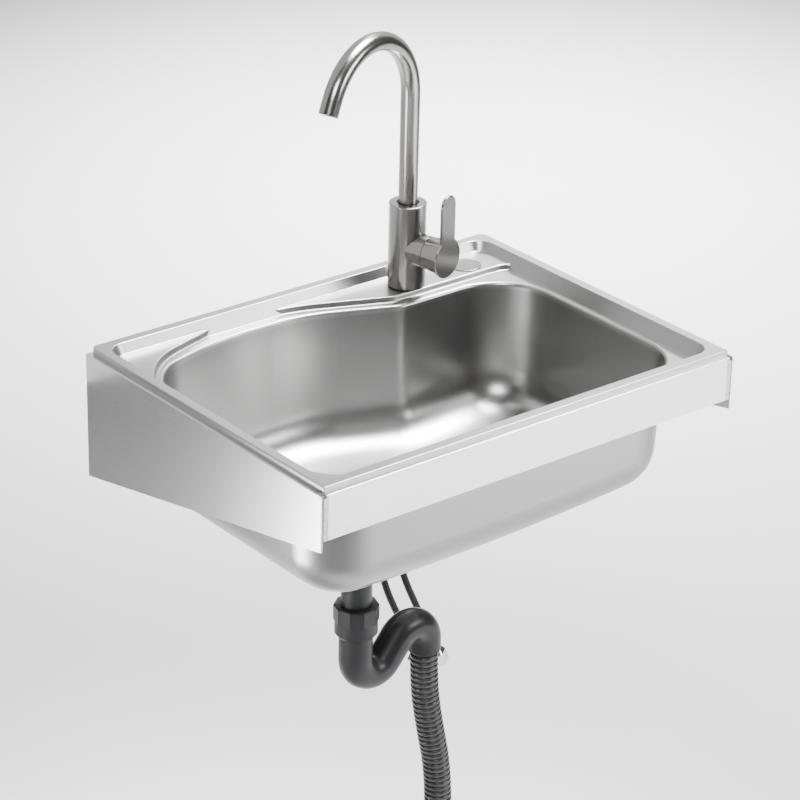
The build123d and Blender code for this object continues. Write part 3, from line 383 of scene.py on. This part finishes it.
def makeWasteHose(shape):
    outletX, outletY, outletZ = shape["outlet"]
    points = [at(outletX + x, outletY, outletZ + z) for x, z in shape["route"]]
    guide = routeCurve("wasteHoseLine", points)
    path = linePoints(guide)
    length = lineLength(path)
    pitch = length / shape["ribs"]
    deselectAll()
    bpy.ops.mesh.primitive_circle_add(vertices=shape["sides"], radius=shape["groove"] * mm)
    hose = bpy.context.object
    hose.name = "wasteHose"
    bpy.ops.object.mode_set(mode="EDIT")
    bpy.ops.mesh.select_all(action="SELECT")
    radius = shape["groove"]
    for step, wider in shape["profile"]:
        bpy.ops.mesh.extrude_region_move(TRANSFORM_OT_translate={"value": (0, 0, step * pitch)})
        bpy.ops.transform.resize(value=(wider / radius, wider / radius, 1))
        radius = wider
    bpy.ops.object.mode_set(mode="OBJECT")
    array = hose.modifiers.new("ribs", "ARRAY")
    array.count = shape["ribs"]
    array.use_relative_offset = False
    array.use_constant_offset = True
    array.constant_offset_displace = (0, 0, pitch)
    array.use_merge_vertices = True
    array.merge_threshold = shape["merge"] * mm
    bend = hose.modifiers.new("alongRoute", "CURVE")
    bend.object = guide
    bend.deform_axis = "POS_Z"
    wall = hose.modifiers.new("wall", "SOLIDIFY")
    wall.thickness = shape["wall"] * mm
    wall.offset = -1
    applyModifiers(hose)
    bpy.ops.object.mode_set(mode="EDIT")
    bpy.ops.mesh.select_all(action="SELECT")
    bpy.ops.mesh.normals_make_consistent(inside=False)
    bpy.ops.object.mode_set(mode="OBJECT")
    bpy.ops.object.shade_smooth_by_angle(angle=math.radians(shape["smoothAngle"]))
    bpy.data.objects.remove(guide)
    hose.data.materials.append(finishes["hosePlastic"])
    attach(hose, "sink")
    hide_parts("waste_hose")
    print("waste hose length", round(length, 4))


# each tail's route is x from the tap's axis, and height
supplyShape = {
    "x": 133.3, "y": -52.3, "diameter": 9.6, "bevelSteps": 6,
    "cold": ((-6.5, 84), (-6.5, 12), (-14.3, -60), (-29.3, -138), (-39.8, -214), (-38.3, -284), (-23.3, -345),
             (2.2, -400), (26.7, -453)),
    "hot": ((6.5, 84), (6.5, 12), (4, -62), (-3.3, -140), (-9.3, -214), (-7.3, -282), (7.7, -342),
            (36.2, -402), (60.7, -458)),
}


def makeSupplyHose(side, shape):
    points = [at(shape["x"] + x, shape["y"], z) for x, z in shape[side]]
    hose = routeCurve(side + "Hose", points)
    length = lineLength(linePoints(hose))
    hose.data.bevel_depth = shape["diameter"] / 2 * mm
    hose.data.bevel_resolution = shape["bevelSteps"]
    hose.data.use_fill_caps = True
    hose.data.materials.append(finishes["supplySleeve"])
    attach(hose, "sink")
    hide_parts(side + "_hose")
    print(side, "hose length", round(length, 4))


makeWasteHose(wasteHoseShape)
for side in ("cold", "hot"):
    makeSupplyHose(side, supplyShape)
print("cords made")

# stage: a plain pale floor just under the sink's lowest piece, and a dim sky
stageLook = {"floorSize": 14.0, "floorGap": 0.001, "floorGrey": 0.80, "floorRoughness": 0.7, "skyGrey": 0.12}

# lamps: the pools light the floor, and the others the sink; spread is in degrees
lightLooks = {
    "backPool": {"place": (2.7, 2.5, 2.2), "aim": (1.7, 1.6, -0.78), "size": (1.6, 1.6), "power": 150.0,
                 "spread": 70},
    "farPool": {"place": (-3.6, -4.2, 3.0), "aim": (-3.6, -4.2, -0.78), "size": (3.0, 3.0), "power": 220.0,
                "spread": 90},
    "frontPool": {"place": (1.6, -2.9, 1.4), "aim": (1.3, -2.1, -0.78), "size": (1.0, 1.0), "power": 115.0,
                  "spread": 80},
    "wallCard": {"place": (0.45, 0.04, 0.72), "aim": (0.45, -1.0, 0.72), "size": (2.4, 1.4), "power": 10.5,
                 "spread": 180},
    "bowlSpot": {"place": (0.5, -0.22, 1.15), "aim": (-0.08, -0.2, -0.1), "size": (0.8, 0.9), "power": 15.0,
                 "spread": 45},
    "rightCard": {"place": (1.43, -1.9, 0.85), "aim": (0.0, -0.1, 0.07), "size": (1.2, 0.7), "power": 9.0,
                  "spread": 90},
    "leftCard": {"place": (-1.7, -0.25, -0.25), "aim": (0.13, -0.05, 0.15), "size": (0.3, 1.2), "power": 3.0,
                 "spread": 60},
    "panelGlow": {"place": (-0.8, -0.1, -0.3), "aim": (-0.3, -0.45, 0.0), "size": (0.3, 0.3), "power": 2.6,
                  "spread": 100},
    "keyLight": {"place": (-1.6, -2.2, 2.4), "aim": (0.0, -0.2, 0.0), "size": (1.0, 1.0), "power": 9.0,
                 "spread": 60},
}


def makeStage(look):
    deselectAll()
    floorLevel = cadBox[0][2] - look["floorGap"]
    bpy.ops.mesh.primitive_plane_add(size=look["floorSize"], location=(0, 0, floorLevel))
    floor = bpy.context.object
    floor.name = "floor"
    settle(floor)
    shader = Shader("paleFloor")
    floor.data.materials.append(shader.feed(colour=grey(look["floorGrey"]), roughness=look["floorRoughness"]))
    world = bpy.data.worlds.new("softSky")
    world.use_nodes = True
    world.node_tree.nodes["Background"].inputs[0].default_value = grey(look["skyGrey"])
    bpy.context.scene.world = world


def makeLight(name, look):
    data = bpy.data.lights.new(name, "AREA")
    data.energy, data.shape = look["power"], "RECTANGLE"
    data.size, data.size_y = look["size"]
    data.spread = math.radians(look["spread"])
    lamp = bpy.data.objects.new(name, data)
    bpy.context.scene.collection.objects.link(lamp)
    lamp.location = look["place"]
    lamp.visible_camera = False
    aim = Vector(look["aim"]) - Vector(look["place"])
    lamp.rotation_mode = "QUATERNION"
    lamp.rotation_quaternion = aim.to_track_quat("-Z", "Y")


makeStage(stageLook)
for name, look in lightLooks.items():
    makeLight(name, look)
print("stage and lights")
